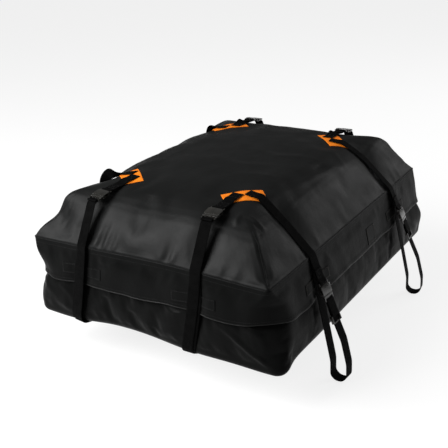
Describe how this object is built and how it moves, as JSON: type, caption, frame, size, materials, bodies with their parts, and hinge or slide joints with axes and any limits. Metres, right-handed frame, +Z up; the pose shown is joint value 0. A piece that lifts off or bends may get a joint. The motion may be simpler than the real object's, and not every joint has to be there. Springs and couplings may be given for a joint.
{
  "type": "roof cargo bag",
  "caption": "Soft zipped cargo bag of coated black fabric with a storm flap, orange strap patches and webbing straps with side-release buckles that loop round roof rails.",
  "frame": {"origin": "centre of the flat base, on its underside", "axes": "+Z up, +X to the bag's right side, which is the right side in the picture, +Y to its rear; -Y is the front end, towards the windscreen"},
  "size_m": [1.1304, 1.1637, 0.5615],
  "materials": {
    "coated_fabric": "satin coated fabric",
    "patch_fabric": "satin coated fabric",
    "webbing": "woven webbing",
    "buckle_plastic": "moulded, slightly glossy",
    "zip_tape": "woven tape with a moulded chain",
    "zip_metal": "satin black"
  },
  "bodies": {
    "bag": {"lid": "coated_fabric", "base_tub": "coated_fabric", "storm_flap": "coated_fabric", "zip": "zip_tape", "patch_front_right": "patch_fabric", "patch_front_left": "patch_fabric", "patch_rear_right": "patch_fabric", "patch_rear_left": "patch_fabric", "top_strap_front_right": "webbing", "buckle_female_front_right": "buckle_plastic", "long_strap_front_right": "webbing", "top_strap_front_left": "webbing", "buckle_female_front_left": "buckle_plastic", "long_strap_front_left": "webbing", "top_strap_right_front": "webbing", "buckle_female_right_front": "buckle_plastic", "long_strap_right_front": "webbing", "top_strap_right_rear": "webbing", "buckle_female_right_rear": "buckle_plastic", "long_strap_right_rear": "webbing", "top_strap_rear_right": "webbing", "buckle_female_rear_right": "buckle_plastic", "long_strap_rear_right": "webbing", "top_strap_rear_left": "webbing", "buckle_female_rear_left": "buckle_plastic", "long_strap_rear_left": "webbing", "top_strap_left_front": "webbing", "buckle_female_left_front": "buckle_plastic", "long_strap_left_front": "webbing", "top_strap_left_rear": "webbing", "buckle_female_left_rear": "buckle_plastic", "long_strap_left_rear": "webbing"},
    "buckle_tail_front_right": {"buckle_male_front_right": "buckle_plastic", "web_link_front_right": "webbing"},
    "buckle_tail_front_left": {"buckle_male_front_left": "buckle_plastic", "web_link_front_left": "webbing"},
    "buckle_tail_right_front": {"buckle_male_right_front": "buckle_plastic", "web_link_right_front": "webbing", "tri_glide_right_front": "buckle_plastic"},
    "buckle_tail_right_rear": {"buckle_male_right_rear": "buckle_plastic", "web_link_right_rear": "webbing", "tri_glide_right_rear": "buckle_plastic"},
    "buckle_tail_rear_right": {"buckle_male_rear_right": "buckle_plastic", "web_link_rear_right": "webbing"},
    "buckle_tail_rear_left": {"buckle_male_rear_left": "buckle_plastic", "web_link_rear_left": "webbing"},
    "buckle_tail_left_front": {"buckle_male_left_front": "buckle_plastic", "web_link_left_front": "webbing", "tri_glide_left_front": "buckle_plastic"},
    "buckle_tail_left_rear": {"buckle_male_left_rear": "buckle_plastic", "web_link_left_rear": "webbing", "tri_glide_left_rear": "buckle_plastic"},
    "slider_front": {"zip_slider_front": "zip_metal"},
    "slider_rear": {"zip_slider_rear": "zip_metal"},
    "pull_front": {"zip_pull_front": "zip_metal"},
    "pull_rear": {"zip_pull_rear": "zip_metal"}
  },
  "joints": [
    {"name": "unclip_front_right", "type": "slide", "parent": "bag", "child": "buckle_tail_front_right", "axis": [0, -0.9781, -0.2079], "range_m": [0, 0.018]},
    {"name": "unclip_front_left", "type": "slide", "parent": "bag", "child": "buckle_tail_front_left", "axis": [-0.1361, -0.9686, -0.2079], "range_m": [0, 0.018]},
    {"name": "unclip_right_front", "type": "slide", "parent": "bag", "child": "buckle_tail_right_front", "axis": [0.4017, -0.0211, -0.9155], "range_m": [0, 0.018]},
    {"name": "unclip_right_rear", "type": "slide", "parent": "bag", "child": "buckle_tail_right_rear", "axis": [0.3928, 0.0552, -0.918], "range_m": [0, 0.018]},
    {"name": "unclip_rear_right", "type": "slide", "parent": "bag", "child": "buckle_tail_rear_right", "axis": [0, 0.9781, -0.2079], "range_m": [0, 0.018]},
    {"name": "unclip_rear_left", "type": "slide", "parent": "bag", "child": "buckle_tail_rear_left", "axis": [0, 0.9781, -0.2079], "range_m": [0, 0.018]},
    {"name": "unclip_left_front", "type": "slide", "parent": "bag", "child": "buckle_tail_left_front", "axis": [-0.4056, 0, -0.9141], "range_m": [0, 0.018]},
    {"name": "unclip_left_rear", "type": "slide", "parent": "bag", "child": "buckle_tail_left_rear", "axis": [-0.4056, 0, -0.9141], "range_m": [0, 0.018]},
    {"name": "zip_run_front", "type": "slide", "parent": "bag", "child": "slider_front", "axis": [0, -1, 0], "range_m": [0, 0.6]},
    {"name": "zip_run_rear", "type": "slide", "parent": "bag", "child": "slider_rear", "axis": [0, 1, 0], "range_m": [0, 0.4]},
    {"name": "pull_swing_front", "type": "hinge", "parent": "slider_front", "child": "pull_front", "pos_m": [0.44285, 0.0915, 0.20091], "axis": [0.9898, 0, 0.1425], "range_deg": [-70, 8]},
    {"name": "pull_swing_rear", "type": "hinge", "parent": "slider_rear", "child": "pull_rear", "pos_m": [0.44285, 0.1085, 0.20091], "axis": [0.9898, 0, 0.1425], "range_deg": [-8, 70]}
  ]
}
